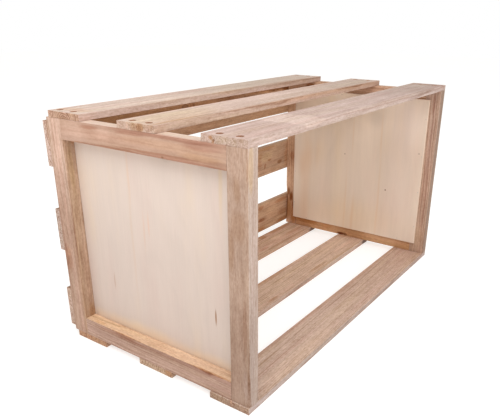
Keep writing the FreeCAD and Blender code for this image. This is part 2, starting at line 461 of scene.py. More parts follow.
def paint_light_along(n, color, name, axes, place, ends):
    """Painted light and shade: tints a board evenly from its low end to its high end, for light that falls
    off along it.
    """
    low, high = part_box(name)
    half = (high[axes[0]] - low[axes[0]]) / 2 / MM
    along, _, _ = n.split(place)
    share = n.math("MULTIPLY_ADD", along, 0.5 / half, 0.5, clamp=True)
    return n.mix(1.0, color, n.mix(share, ends[0] + (1,), ends[1] + (1,)), "MULTIPLY")


def place_knots(n, place, knots):
    """The knot group of each (at, size, stretch)."""
    return [n.group(KNOT, Place=place, At=at, Size=size, Stretch=stretch) for at, size, stretch in knots]


def lay_knots(n, color, knots):
    """Darkens the heart and the bark ring of each knot."""
    for knot in knots:
        color = n.mix(n.math("MULTIPLY", knot["Core"], 0.75), color, KNOT_HEART)
        color = n.mix(n.math("MULTIPLY", knot["Rim"], 0.7), color, KNOT_BARK)
    return color


def finish_wood(n, color, height, rough):
    """A dull wooden surface with a fine bump."""
    bump = n.add("ShaderNodeBump", {"Height": height, "Strength": 0.5, "Distance": 0.00012})
    values = {"Base Color": color, "Roughness": rough, "Normal": bump.outputs[0]}
    shader = n.add("ShaderNodeBsdfPrincipled", values)
    shader.inputs["Specular IOR Level"].default_value = 0.25
    n.add("ShaderNodeOutputMaterial", {"Surface": shader.outputs[0]})


def blank(name):
    """A new material with no nodes, and the means to add some."""
    material = bpy.data.materials.new(name)
    material.use_nodes = True
    material.node_tree.nodes.clear()
    return material, Nodes(material.node_tree)


def far_place(rng):
    """A random place far off in the noise, so that no two boards share a figure."""
    return tuple(rng.uniform(50, 900, 3))


def wood(name, centre, axes, look, seed):
    """Sawn solid wood: one timber's own cut, with its own marks, knots, ends and torn places."""
    material, n = blank(name)
    rng = np.random.default_rng(seed)
    place = place_nodes(n, centre, axes)
    knots = place_knots(n, place, look["knots"])
    shift = 0.0
    for knot in knots:
        shift = n.math("ADD", shift, knot["Push"])
    figure = n.group(FIGURE, Place=place, Seed=far_place(rng), Pith=(0,) + look["pith"],
                     Lean=(0,) + look["lean"], Width=look["width"], Wave=look["wave"], Shift=shift)
    sawn = n.math("ADD", side_share(n, axes, 0, 1), side_share(n, axes, 0, -1))
    ring = n.math("MULTIPLY_ADD", sawn, look["end_ring"] * look["ring"], look["ring"])
    tone = n.math("MULTIPLY", figure["Ring"], ring)
    for share in ("Streak", "Blotch"):
        tone = n.math("MULTIPLY_ADD", figure[share], look[share.lower()], tone)
    speck = n.math("MULTIPLY", figure["Speck"], n.math("MULTIPLY_ADD", sawn, 0.26, look["speck"]))
    tone = n.math("ADD", n.math("ADD", tone, speck), TONE_START, clamp=True)
    pale, deep = ramp_ends(look["wood"], look["depth"])
    color = n.mix(tone, pale, deep)
    hue = n.math("MULTIPLY", figure["Tint"], look["tint"])
    color = n.mix(n.math("ADD", hue, 0.0, clamp=True), color, look["warm"] + (1,), "MULTIPLY")
    color = n.mix(n.math("MULTIPLY", hue, -1.0, clamp=True), color, look["cool"] + (1,), "MULTIPLY")
    color = n.shade(color, n.math("MULTIPLY_ADD", figure["Fibre"], -look["fibre"], 1.0))
    pores = n.math("MULTIPLY", figure["Pore"], n.math("MULTIPLY_ADD", sawn, 0.4, look["pore"]))
    color = n.mix(pores, color, PORE_TINT, "MULTIPLY")
    color = paint_side_light(n, color, axes, look["sides"])
    color = paint_light_along(n, color, name, axes, place, look["ends"])
    color = lay_marks_and_painted_light(n, color, figure["Warped"], look)
    color = lay_knots(n, color, knots)
    torn = n.add("ShaderNodeAttribute", attribute_name="torn").outputs["Fac"]
    rag = n.step(figure["Speck"], -0.8, 0.8)
    ragged = n.math("MULTIPLY", n.step(torn, 0.05, 0.6), n.step(rag, 0.0, 1.0, 0.5, 1.0))
    color = n.mix(ragged, color, look["bark"] + (1,), "MULTIPLY")
    coarse = n.math("MULTIPLY", figure["Speck"], n.math("MULTIPLY_ADD", sawn, 0.8, 0.12))
    height = n.math("MULTIPLY_ADD", figure["Fibre"], 0.35, coarse)
    height = n.math("MULTIPLY_ADD", figure["Pore"], -0.6, height)
    finish_wood(n, color, height, n.step(figure["Fibre"], -1.0, 1.0, 0.58, 0.76))
    return material


def ramp_ends(color, depth):
    """Pale early wood and deep late wood about a timber's mean colour."""
    pale = [c * (1 + depth * k) for c, k in zip(color, (0.35, 0.45, 0.55))]
    deep = [c * (1 - depth * k) for c, k in zip(color, (0.75, 0.95, 1.10))]
    return pale + [1], deep + [1]


def veneer(name, centre, axes, look, seed):
    """Thin pale plywood: faint upright figure on its faces, and three plies on its edges."""
    material, n = blank(name)
    rng = np.random.default_rng(seed)
    place = place_nodes(n, centre, axes)
    knots = place_knots(n, place, look["knots"])
    broad = n.vector("MULTIPLY", place, SHEET_STRETCH)
    figure = n.group(FIGURE, Place=broad, Seed=far_place(rng), Pith=(0,) + look["pith"],
                     Lean=(0,) + look["lean"], Width=look["width"], Wave=look["wave"])
    tone = n.math("MULTIPLY_ADD", figure["Ring"], look["ring"], 1.0)
    for share in ("Streak", "Blotch", "Tint"):
        tone = n.math("MULTIPLY_ADD", figure[share], -look[share.lower()], tone)
    away = n.vector("ADD", place, far_place(rng))
    fibre = n.swing(n.vector("DIVIDE", away, (26, 0.9, 0.9)), 3.0, 0.6)
    color = n.shade(look["wood"] + (1,), n.math("MULTIPLY_ADD", fibre, -look["fibre"], tone))
    hue = n.swing(n.vector("DIVIDE", away, (140, 34, 34)), 2.0)
    color = n.mix(n.step(hue, 0.0, 1.2), color, look["warm"] + (1,), "MULTIPLY")
    color = n.mix(n.step(hue, 0.0, -1.2), color, look["cool"] + (1,), "MULTIPLY")
    _, _, through = n.split(place)
    middle = n.step(n.math("ABSOLUTE", through), 0.55, 0.75, 1.0, 0.0)
    color = n.mix(middle, color, CORE_TINT, "MULTIPLY")
    warped = n.vector("ADD", place, n.vector("SUBTRACT", figure["Warped"], broad))
    color = paint_light_along(n, color, name, axes, place, look["ends"])
    color = lay_marks_and_painted_light(n, color, warped, look)
    color = lay_knots(n, color, knots)
    finish_wood(n, color, n.math("MULTIPLY", fibre, 0.3), n.step(fibre, -1.0, 1.0, 0.55, 0.68))
    return material


# Pith is the tree's centre, (across, through) the board, and lean is its drift along the board.
# Width is a ring's width, wave is how far rings wander, and depth is the contrast of pale and deep
# wood. Ends are tints at the low and high end: painted light and shade, lighter towards one end and
# darker towards the other. The other numbers are shares of the figure.
PINK, STRAW = (1.06, 0.93, 0.92), (1.03, 1.04, 0.88)
BASE = dict(pith=(30, 20), lean=(0.02, 0.0), width=3.2, wave=1.8, depth=0.75, ring=0.45, end_ring=0.6,
            streak=0.16, blotch=0.12, speck=0.17, tint=0.5, fibre=0.09, pore=0.36, warm=STRAW, cool=PINK,
            bark=(0.70, 0.57, 0.46), sides={}, ends=((1.0, 1.0, 1.0), (1.0, 1.0, 1.0)), face=(-8, 3),
            knots=())
# A panel's ends are painted shade low down and painted light high up.
SHEET = dict(wood=(0.67, 0.55, 0.47), pith=(10, 60), lean=(0.05, 0.05), width=5.0, wave=5.0, ring=-0.026,
             streak=0.012, blotch=0.012, tint=0.016, fibre=0.022, warm=(1.03, 1.01, 0.95),
             cool=(1.0, 0.965, 0.965), ends=((0.90, 0.89, 0.90), (1.10, 1.11, 1.13)), face=(-2, 2), knots=())

# A mark is (place, reach, tint) in board millimetres, and how soft its edge is where that matters.
# Some marks are the wood's own streaks and stains; many are painted shade, painted shadow and
# painted highlights.
# A place and reach of two numbers take their third from face: where the face lies, and how deep.
# A knot is (place, size, stretch). Sides are (column, sign) of the board: along, across, through;
# each side's tint is painted light and shade, for how light falls on that side.
# The far corner mark is painted shade: the dark front edge of a bottom slat where it goes under the far rail.
FAR_CORNER_SHADE = ((262, -27.5, -1), (11, 2.0, 5), (0.34, 0.30, 0.28))
LOOKS = {
    "top_slat_front": dict(
        wood=(0.542, 0.404, 0.348), pith=(64, 20), width=3.0, wave=2.0, depth=0.66, end_ring=-0.85,
        ends=((1.05, 1.05, 1.04), (0.94, 0.94, 0.95)),
        sides={(1, -1): (0.90, 0.91, 0.90), (0, -1): (0.88, 0.85, 0.79)},
        face=(4, 4), marks=(
            ((-153, 0, 4), (27, 60, 6), (1.17, 1.20, 1.19), 0.08),
            ((-225, -5, 4), (40, 20, 6), (0.98, 0.95, 0.94)),
            ((190, -4, 4), (75, 30, 6), (0.88, 0.89, 0.86), 0.5),
            ((175, -11), (50, 1.8), (0.90, 0.82, 0.78)),
            ((262, 0, 4), (14, 40, 6), (0.86, 0.77, 0.71)),
            ((232, 8, 4), (18, 14, 5), (1.05, 1.08, 1.08)),
            ((120, -25), (120, 1.8), (0.92, 0.84, 0.80)),
            ((-205, -3), (38, 1.3), (0.90, 0.86, 0.84)),
            ((-110, 8), (60, 1.8), (0.94, 0.90, 0.88)),
            ((40, 6), (60, 1.6), (1.05, 1.05, 1.05)),
            ((-270, 15.0, 1.6), (6, 2.2, 2.4), (0.84, 0.64, 0.42)),
            ((-270, 12.4, -1.5), (6, 1.8, 2.6), (0.78, 0.57, 0.38)),
            ((-270, -20, 2), (6, 2.4, 1.6), (0.82, 0.78, 0.70)),
            ((-270, -12, 1), (6, 2.0, 1.4), (0.84, 0.80, 0.72)),
            ((-270, 0, -3.8), (6, 9, 1.0), (0.86, 0.76, 0.72)),
            ((-270, 20, -3.8), (6, 7, 1.0), (0.78, 0.66, 0.62)),
            ((60, -27.5, 1.6), (230, 2, 0.8), (0.86, 0.77, 0.75)),
            ((110, -27.5, -1.5), (120, 2, 1.2), (1.05, 1.05, 1.06)),
            ((200, -27.5, 0.6), (60, 2, 0.7), (0.88, 0.80, 0.78))),
        knots=(((-270, 11.8, -1.0), 0.95, (2.5, 1, 1)),)),
    "top_slat_middle": dict(
        wood=(0.611, 0.464, 0.375), pith=(52, 20), lean=(0.004, 0.0), width=3.0, depth=0.66, end_ring=-0.5,
        ends=((1.04, 1.04, 1.06), (0.96, 0.96, 0.97)),
        sides={(1, -1): (0.78, 0.70, 0.65), (0, -1): (0.85, 0.77, 0.71)},
        face=(4, 5), marks=(
            ((-215, -2), (60, 26), (1.02, 1.01, 0.90), 0.5),
            ((-235, -23), (40, 4), (0.90, 0.80, 0.68)),
            ((-60, 8), (110, 14), (1.05, 1.03, 1.05)),
            ((190, 2), (85, 30), (0.89, 0.90, 0.89), 0.5),
            ((60, -25), (210, 3.0), (0.92, 0.84, 0.74)),
            ((120, 20), (60, 3), (0.92, 0.86, 0.82)),
            ((115, 8, 4), (30, 1.8, 4), (1.08, 1.08, 1.08)),
            ((-10, -8, 4), (90, 1.6, 4), (0.94, 0.89, 0.84)),
            ((-270, -7, 1.5), (6, 5, 6), (0.76, 0.60, 0.45), 0.25),
            ((-270, 3, 0), (6, 7.5, 6), (0.84, 0.74, 0.64), 0.2),
            ((-270, 11.5, 0), (6, 1.6, 5), (1.12, 1.10, 1.08)),
            ((200, -27.5, 0), (80, 2, 5), (0.90, 0.86, 0.80)))),
    "top_slat_back": dict(
        wood=(0.634, 0.49, 0.406), pith=(1, -5), lean=(0.006, 0.004), width=2.8, wave=1.2, depth=0.66,
        end_ring=2.2,
        ends=((1.04, 1.05, 1.05), (0.96, 0.96, 0.97)),
        sides={(1, -1): (0.75, 0.67, 0.65), (0, -1): (0.80, 0.64, 0.54)},
        face=(4, 5), marks=(
            ((-255, 8), (10, 30), (0.96, 0.88, 0.80)),
            ((-160, -14), (115, 7), (1.07, 1.07, 1.05)),
            ((-60, 12), (60, 8), (0.96, 0.89, 0.89)),
            ((120, 4), (160, 40), (0.90, 0.92, 0.88), 0.5),
            ((180, -23), (100, 4), (0.86, 0.76, 0.68)),
            ((-60, -25), (200, 2), (0.92, 0.86, 0.80)),
            ((190, -27.5, 0), (90, 2, 5), (0.88, 0.84, 0.78)))),
    "bottom_slat_front": dict(
        wood=(0.553, 0.395, 0.308), pith=(74, 16), width=2.6, wave=1.3, ring=0.38,
        end_ring=-0.4, ends=((1.06, 1.1, 1.12), (0.96, 0.92, 0.9)),
        sides={(1, -1): (0.69, 0.71, 0.78), (0, -1): (0.58, 0.50, 0.43)},
        face=(4, 5), marks=(
            ((0, 24.5), (280, 3.5), (0.93, 0.86, 0.82)),
            ((-150, -18), (90, 8), (1.05, 1.04, 1.02)),
            ((-20, 0), (60, 10), (1.04, 1.05, 1.05)),
            ((215, -10), (45, 14), (0.97, 0.94, 0.92)),
            ((-266, -4, 3.4), (6, 1.3, 2.2), (1.35, 1.30, 1.25)),
            ((-266, -8, 3.0), (6, 1.5, 2.0), (0.76, 0.66, 0.60)),
            ((-272, 0, 0.6), (6, 32, 0.5), (1.20, 1.18, 1.14), 0.5),
            ((-272, 4, -1.4), (6, 26, 0.9), (0.84, 0.78, 0.74), 0.5))),
    "bottom_slat_middle": dict(
        wood=(0.648, 0.461, 0.340), pith=(66, 24), lean=(0.015, 0.0), wave=1.3, ring=0.36,
        ends=((0.88, 0.86, 0.84), (1.06, 1.09, 1.12)),
        sides={(1, -1): (0.68, 0.67, 0.69), (0, -1): (0.83, 0.81, 0.76)},
        face=(4, 5), marks=(
            ((10, 24), (60, 4), (0.84, 0.72, 0.62)),
            ((-45, -20, 4), (12, 2, 4), (0.82, 0.70, 0.60)),
            ((95, -18, 4), (28, 3, 4), (0.86, 0.76, 0.66)),
            ((180, 10), (60, 8), (1.04, 1.04, 1.02)),
            ((120, -24, 4), (60, 1.4, 4), (0.86, 0.80, 0.72)),
            ((253, 10), (8, 16), (0.98, 0.84, 0.72)),
            ((-262, -22, 0), (20, 7, 5), (0.86, 0.72, 0.56)),
            FAR_CORNER_SHADE)),
    "bottom_slat_back": dict(
        wood=(0.630, 0.437, 0.314), pith=(66, 20), lean=(0.01, 0.01), ring=0.36,
        ends=((0.82, 0.76, 0.72), (1.04, 1.08, 1.1)),
        sides={(1, -1): (0.71, 0.64, 0.60), (0, -1): (0.85, 0.73, 0.61)},
        face=(4, 5), marks=(
            ((148, 20), (10, 6), (0.84, 0.68, 0.54)),
            ((210, 22), (40, 5), (0.86, 0.70, 0.58)),
            ((110, -15), (14, 3), (0.84, 0.68, 0.66)),
            ((180, -24), (80, 3), (0.84, 0.74, 0.68)),
            ((225, -8), (30, 5), (0.92, 0.82, 0.76)),
            ((172, 0), (18, 8), (1.10, 1.12, 1.12)),
            FAR_CORNER_SHADE)),
    # The back slats' wood is darker and more orange as painted shade for the crate's inside; the side tint
    # brightens their lit outer ends as painted light.
    "back_slat_top": dict(
        wood=(0.414, 0.243, 0.141), pith=(20, -50), lean=(0.01, 0.02), ring=0.5, blotch=0.2,
        sides={(0, -1): (1.50, 1.84, 2.59)},
        face=(-4, 3), marks=(
            ((20, 0), (60, 60), (0.95, 0.92, 0.88)),
            ((-120, 14), (170, 14), (0.92, 0.80, 0.64), 0.6),
            ((225, 14), (60, 14), (1.30, 1.36, 1.44), 0.5),
            ((195, 20), (90, 6), (0.86, 0.74, 0.58)),
            ((205, -22), (80, 8), (1.16, 1.15, 1.12)),
            ((255, 14, -4), (16, 10, 4), (0.72, 0.57, 0.42))),
        knots=(((-33, 15.5, -4), 3.2, (1.8, 1, 1)),)),
    "back_slat_middle": dict(
        wood=(0.408, 0.264, 0.170), pith=(10, 40), lean=(0.01, 0.02), ring=0.26, blotch=0.2,
        ends=((0.9, 0.92, 0.96), (1.06, 1.03, 1.0)),
        sides={(0, -1): (1.32, 1.46, 1.77)},
        face=(-4, 3), marks=(
            ((196, 0), (5, 2.2), (0.72, 0.56, 0.44)),
            ((228, -10), (7, 3.5), (0.66, 0.50, 0.38)),
            ((180, -9), (3.5, 5), (0.76, 0.62, 0.52)),
            ((186, 6), (14, 8), (1.02, 1.03, 0.94)),
            ((255, 2), (14, 26), (0.98, 0.86, 0.72)),
            ((162, 4), (8, 14), (0.96, 0.86, 0.78)),
            ((180, 22), (30, 3), (0.88, 0.76, 0.64)),
            ((200, -21), (60, 5), (1.09, 1.06, 1.04)))),
    "back_slat_bottom": dict(
        wood=(0.475, 0.293, 0.182), pith=(-30, 30), lean=(0.01, 0.0), ring=0.24, blotch=0.18,
        ends=((0.62, 0.58, 0.58), (1.1, 1.12, 1.12)),
        sides={(0, -1): (1.69, 2.03, 2.53)},
        face=(-4, 3), marks=(
            ((165, -4), (11, 3.2), (0.64, 0.46, 0.36)),
            ((162, -22), (12, 4), (0.78, 0.58, 0.42)),
            ((163, 20), (9, 5), (0.78, 0.62, 0.52)),
            ((235, 20), (22, 4), (0.82, 0.66, 0.52)),
            ((240, -6), (20, 6), (0.82, 0.68, 0.58)),
            ((240, -22), (26, 4.5), (0.76, 0.58, 0.42)),
            ((200, 4), (22, 10), (1.06, 1.06, 1.04)))),
    "left_front_post": dict(
        wood=(0.402, 0.268, 0.195), pith=(12, 26), lean=(0.03, 0.02), ring=0.16, streak=0.10, speck=0.15,
        tint=0.25,
        ends=((0.86, 0.84, 0.83), (1.12, 1.14, 1.15)),
        sides={(1, -1): (1.03, 1.16, 1.31), (2, 1): (1.0, 0.95, 0.85)},
        marks=(
            ((-72, 2, -8), (48, 14, 5), (0.93, 0.92, 0.90), 0.5),
            ((-120, -8), (20, 4), (1.06, 1.10, 1.18)),
            ((-118, -11.8), (26, 2.0), (0.72, 0.62, 0.54)),
            ((-48, -8), (34, 3), (0.88, 0.80, 0.74)),
            ((0, -2), (20, 14), (1.07, 1.08, 1.08)),
            ((60, 0), (16, 8), (0.93, 0.87, 0.80)),
            ((34, 8), (18, 3), (0.94, 0.88, 0.80)),
            ((98, 2), (14, 4), (0.92, 0.86, 0.78)),
            ((128, 0, -8), (18, 30, 4), (1.08, 1.07, 1.07)),
            ((122, -12.5, -4), (22, 3, 4), (1.06, 1.00, 0.84)),
            ((70, -12.5, 0), (90, 3, 30), (1.03, 1.02, 1.01)),
            ((-72, -12.5, -2), (44, 3, 7), (0.92, 0.91, 0.90)))),
    "left_back_post": dict(
        wood=(0.480, 0.308, 0.222), pith=(20, 30), ring=0.3, blotch=0.18, speck=0.18,
        ends=((0.92, 0.91, 0.9), (1.06, 1.09, 1.12)),
        sides={(1, -1): (0.96, 0.97, 0.90)},
        face=(-8, 4), marks=(
            ((-35, 7), (18, 6), (0.86, 0.73, 0.65)),
            ((0, 0), (40, 30), (0.95, 0.92, 0.90), 0.6),
            ((122, 0), (32, 30), (1.08, 1.10, 1.10), 0.6),
            ((-126, -3), (20, 14), (1.06, 1.08, 1.09), 0.6),
            ((-28, 8, -8), (2.5, 5, 3), (1.16, 1.16, 1.14)),
            ((-22, 3, -8), (2.5, 5, 3), (1.12, 1.12, 1.10)),
            ((-80, -9, -8), (70, 4, 3), (0.92, 0.86, 0.80)),
            ((110, 0), (56, 30), (1.15, 1.18, 1.20), 0.6),
            ((-112, -12.5, 5), (16, 3, 5), (0.98, 0.91, 0.78)),
            ((80, -12.5, 0), (28, 3, 4), (0.92, 0.90, 0.80)),
            ((112, -12.5, 7), (6, 3, 4), (0.95, 0.76, 0.56)))),
    "left_top_rail": dict(
        wood=(0.497, 0.307, 0.218), pith=(-30, 22), lean=(0.03, 0.02), ring=0.14, blotch=0.10, streak=0.08,
        tint=0.3, speck=0.08, fibre=0.04, pore=0.10,
        ends=((0.96, 0.98, 0.97), (1.02, 1.02, 1.02)),
        sides={(1, 1): (1.38, 1.66, 1.88)},
        marks=(
            ((-40, 11.5), (86, 3.0), (0.88, 0.75, 0.71)),
            ((8, 8.0), (22, 1.6), (0.86, 0.74, 0.70)),
            ((76, 8.5), (14, 2.2), (0.86, 0.72, 0.66)),
            ((-95, 7), (26, 4), (0.92, 0.82, 0.80)),
            ((-35, -7.6), (66, 1.2), (0.76, 0.62, 0.55)),
            ((-60, -11.0), (60, 2.4), (0.88, 0.74, 0.70)),
            ((30, -10.5), (40, 1.6), (0.80, 0.66, 0.58)),
            ((85, -11.5), (26, 1.4), (0.80, 0.68, 0.60)),
            ((52, 3), (12, 9), (1.10, 1.12, 1.15)),
            ((104, 4), (16, 9), (1.08, 1.10, 1.12)),
            ((-92, -4), (26, 3.5), (1.02, 0.96, 0.85)),
            ((-50, 2), (70, 4.0), (1.05, 1.04, 1.00)),
            ((30, 0.5), (110, 6.5), (1.06, 1.06, 1.05)),
            ((100, -4), (26, 9), (1.04, 1.07, 1.10)),
            ((0, 11), (130, 2.6), (0.95, 0.93, 0.94)),
            ((0, -10.5), (100, 2.6), (0.93, 0.91, 0.92)),
            ((-110, -9), (16, 4), (0.86, 0.79, 0.77))),
        knots=(((-39, -10.6, -8), 0.9, (1.6, 1, 1)),)),
    "left_bottom_rail": dict(
        wood=(0.411, 0.262, 0.197), pith=(-40, 10), lean=(0.02, 0.02), ring=0.34, width=3.4,
        ends=((0.94, 0.92, 0.91), (1.05, 1.04, 1.04)),
        sides={(1, 1): (1.80, 1.97, 1.74)},
        marks=(
            ((-50, -2.5), (70, 1.5), (1.14, 1.16, 1.20)),
            # painted highlight along the rail's lower arris
            ((20, -8.5), (130, 3.6), (1.14, 1.17, 1.19)),
            ((-30, 9.0), (90, 2.8), (0.86, 0.78, 0.74)),
            ((55, 9.0), (50, 2.6), (0.88, 0.78, 0.74)),
            ((-89, 10.5), (5, 1.6), (0.84, 0.74, 0.68)),
            ((-95, 12, -7.4), (26, 3, 1.2), (0.78, 0.64, 0.54)),
            ((45, 12, -7.5), (20, 3, 1.2), (0.88, 0.76, 0.66)),
            ((96, 12, -5), (12, 3, 3), (0.94, 0.86, 0.76)),
            ((-75, 12, 2), (30, 3, 5), (1.06, 1.08, 1.12)))),
    "right_front_post": dict(
        wood=(0.470, 0.322, 0.238), pith=(24, 20), width=2.8, ring=0.5,
        ends=((0.93, 0.89, 0.86), (1.07, 1.09, 1.11)),
        sides={(1, -1): (0.60, 0.58, 0.56)},
        marks=(
            ((-115, -2, -8), (22, 7, 4), (1.04, 1.06, 1.0)),
            ((60, -4), (80, 1.6), (0.86, 0.78, 0.78)),
            ((-40, -6), (60, 1.8), (0.88, 0.80, 0.76)),
            ((120, -2), (20, 1.8), (0.80, 0.68, 0.64)),
            ((10, 0), (70, 2.4), (1.06, 1.00, 1.00)))),
    "right_back_post": dict(
        wood=(0.557, 0.334, 0.209), bark=(0.98, 0.88, 0.72),
        face=(-8, 5), marks=(
            # the first three marks are painted shade in the waney hollow low on the post, over the wane's own
            # browner wood
            ((-97, -7), (15, 4.5), (0.36, 0.19, 0.06), 0.45),
            ((-86, 1.5), (9, 3.4), (0.46, 0.27, 0.12), 0.45),
            ((-76, 7.5), (7, 3.4), (0.54, 0.36, 0.21), 0.45),
            ((-122, -6), (22, 6), (0.84, 0.68, 0.48), 0.6),
            ((-112, 6), (22, 7), (0.82, 0.70, 0.50)),
            ((-58, 2, -8), (14, 8, 4), (1.08, 1.08, 1.10)),
            ((-5, 0, -8), (8, 6, 3), (0.84, 0.70, 0.62)),
            ((-130, -8, -8), (10, 8, 4), (0.92, 0.80, 0.60)))),
    "right_top_rail": dict(
        wood=(0.55, 0.34, 0.225),
        marks=(((101, 5, -8), (9, 3.5, 4), (0.50, 0.31, 0.18)),)),
    "right_bottom_rail": dict(
        wood=(0.510, 0.277, 0.135),
        face=(-8, 4), marks=(
            # painted shade in the chip beside the knot
            ((15, -11), (7.5, 3.0), (0.34, 0.21, 0.12)),
            ((2, -7), (4, 2.4), (1.14, 1.14, 1.14)),
            ((96, 3), (26, 9), (0.80, 0.64, 0.44)),
            ((50, -2), (14, 5), (0.92, 0.82, 0.72)),
            ((-70, 0), (40, 6), (1.05, 1.06, 1.16))),
        knots=(((9, -9.5, -8), 2.0, (1.6, 1, 1)),)),
}
PANELS = {
    "left_panel": dict(
        marks=(
            ((-54, 76), (10, 1.0), (0.86, 0.76, 0.68), 0.6),
            ((-53, -87.4), (8.5, 1.05), (0.50, 0.30, 0.17), 0.5),
            ((-30, -10), (70, 130), (0.955, 0.95, 0.95), 0.7),
            ((105, -98), (40, 2.4), (1.01, 0.97, 0.84), 0.6),
            ((20, 16), (22, 1.4), (1.01, 0.94, 0.88), 0.7),
            ((32, 8), (12, 1.3), (1.03, 0.92, 0.84), 0.7),
            ((0, 36), (60, 1.6), (0.99, 0.95, 0.90), 0.8),
            ((80, 34), (30, 1.4), (1.02, 0.96, 0.88), 0.8),
            # painted light: a warm glow low on the panel, just above the bottom rail
            ((-119, 0), (12, 140), (1.14, 1.06, 0.92), 0.8),
            ((-111, 0), (7, 150), (1.06, 1.055, 1.01), 0.8),
            # painted shadow under the top rail
            ((118, 0), (3.2, 150), (0.84, 0.84, 0.83), 0.8),
            ((116, 0), (9, 150), (0.95, 0.95, 0.94), 0.9))),
    "right_panel": dict(
        wood=(0.73, 0.59, 0.47), streak=0.022, tint=0.026,
        # ends: darker towards the top, painted shade under the top slats
        ends=((1.0, 1.01, 1.03), (0.96, 0.95, 0.93)),
        marks=(
            # the first six marks are painted shadow under the top slats and painted light through the gaps
            # between them
            ((105, 95), (50, 46), (0.80, 0.75, 0.71), 0.7),
            ((95, 20), (40, 50), (0.93, 0.91, 0.89), 0.7),
            ((110, -100), (56, 44), (1.10, 1.12, 1.17), 0.7),
            ((108, -44), (26, 36), (0.85, 0.83, 0.81), 0.7),
            ((112, 24), (24, 20), (1.17, 1.19, 1.21), 0.6),
            ((90, -114), (50, 18), (1.10, 1.11, 1.12), 0.6),
            ((-60, 102), (90, 9), (0.98, 0.91, 0.85), 0.8),
            ((-80, 14), (60, 1.6), (0.98, 0.92, 0.85), 0.8),
            ((-100, -2), (36, 2.6), (0.98, 0.90, 0.80), 0.8),
            ((45, 5), (32, 1.3), (1.0, 0.94, 0.86), 0.8),
            ((55, -50), (34, 1.6), (0.98, 0.92, 0.84), 0.8),
            ((-60, -52), (70, 1.8), (1.0, 0.94, 0.87), 0.8),
            ((6, 94), (22, 8), (0.98, 0.93, 0.88), 0.9),
            ((-8, 110), (20, 6), (0.97, 0.92, 0.87), 0.9),
            ((14, 78), (20, 5), (0.98, 0.94, 0.89), 0.9),
            ((86, -36), (15, 13), (0.89, 0.89, 0.90), 0.8),
            ((-105, 10), (30, 90), (1.01, 0.96, 0.88), 0.9),
            ((20, -90), (110, 26), (1.03, 1.02, 1.05), 0.9),
            ((-40, 34), (70, 12), (1.03, 1.03, 1.0), 0.9)),
        knots=(
            ((17.5, 19.0, -2), 0.9, (1, 1, 1)),
            ((-37, -65.3, -2), 1.15, (1, 1, 1)),
            ((36, -120, -2), 0.8, (1, 1, 1)))),
}


TORN_FLECKS, BLOOM_FLECKS = 1100, 900         # noise cells in a metre


def torn_wood():
    """Dark wood inside the nail pockets: broken fibres, made darker still as painted shade in the hollow."""
    material, n = blank("torn_wood")
    place = n.vector("MULTIPLY", n.add("ShaderNodeTexCoord").outputs["Object"], (TORN_FLECKS,) * 3)
    speck = n.noise(place, 3.0, 0.6)
    color = n.mix(n.step(speck, 0.35, 0.65), (0.26, 0.115, 0.06, 1), (0.42, 0.21, 0.12, 1))
    bump = n.add("ShaderNodeBump", {"Height": speck, "Strength": 0.8, "Distance": 0.0004})
    rough = n.step(speck, 0.3, 0.7, 0.7, 0.9)
    values = {"Base Color": color, "Roughness": rough, "Normal": bump.outputs[0]}
    shader = n.add("ShaderNodeBsdfPrincipled", values)
    n.add("ShaderNodeOutputMaterial", {"Surface": shader.outputs[0]})
    return material


def wire_steel(name, dark, light):
    """Dull drawn wire with a brown bloom."""
    material, n = blank(name)
    place = n.vector("MULTIPLY", n.add("ShaderNodeTexCoord").outputs["Object"], (BLOOM_FLECKS,) * 3)
    bloom = n.noise(place, 3.0, 0.6)
    color = n.mix(n.step(bloom, 0.38, 0.62), dark + (1,), light + (1,))
    bump = n.add("ShaderNodeBump", {"Height": n.noise(place, 5.0), "Strength": 0.3, "Distance": 0.0001})
    rough = n.step(bloom, 0.3, 0.7, 0.62, 0.38)
    values = {"Base Color": color, "Roughness": rough, "Normal": bump.outputs[0]}
    shader = n.add("ShaderNodeBsdfPrincipled", values)
    shader.inputs["Metallic"].default_value = 0.7
    n.add("ShaderNodeOutputMaterial", {"Surface": shader.outputs[0]})
    return material


# ---------------------------------------------------------------- timbers

SLAT_FACES = {"top": (Z, 1), "bottom": (Z, -1), "back": (Y, 1)}
HEAD_REACH = 1.6             # a nail head lies no deeper than this under the slat's face
WOOD_SEED, SHEET_SEED, SEED_STEP = 100, 300, 7


def nail_places(slat):
    """Centres of the slat's nail pockets on its outer face, read from the CAD nails inside its box."""
    group = slat.split("_")[0]
    low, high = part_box(slat)
    axis, side = SLAT_FACES[group]
    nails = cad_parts[group + "_slat_nails"].data
    spots = np.array([v.co for v in nails.vertices])
    face = high[axis] if side > 0 else low[axis]
    heads = spots[np.abs(spots[:, axis] - face) < HEAD_REACH * MM]
    across = Y if axis == Z else Z
    inside = (heads[:, across] > low[across]) & (heads[:, across] < high[across])
    places = []
    for end in (-1, 1):
        row = heads[inside & (np.sign(heads[:, X]) == end)]
        middle = (row[:, across].min() + row[:, across].max()) / 2
        for part in (row[row[:, across] < middle], row[row[:, across] > middle]):
            place = (part.min(0) + part.max(0)) / 2
            place[axis] = face
            places.append(place)
    return places, axis, side


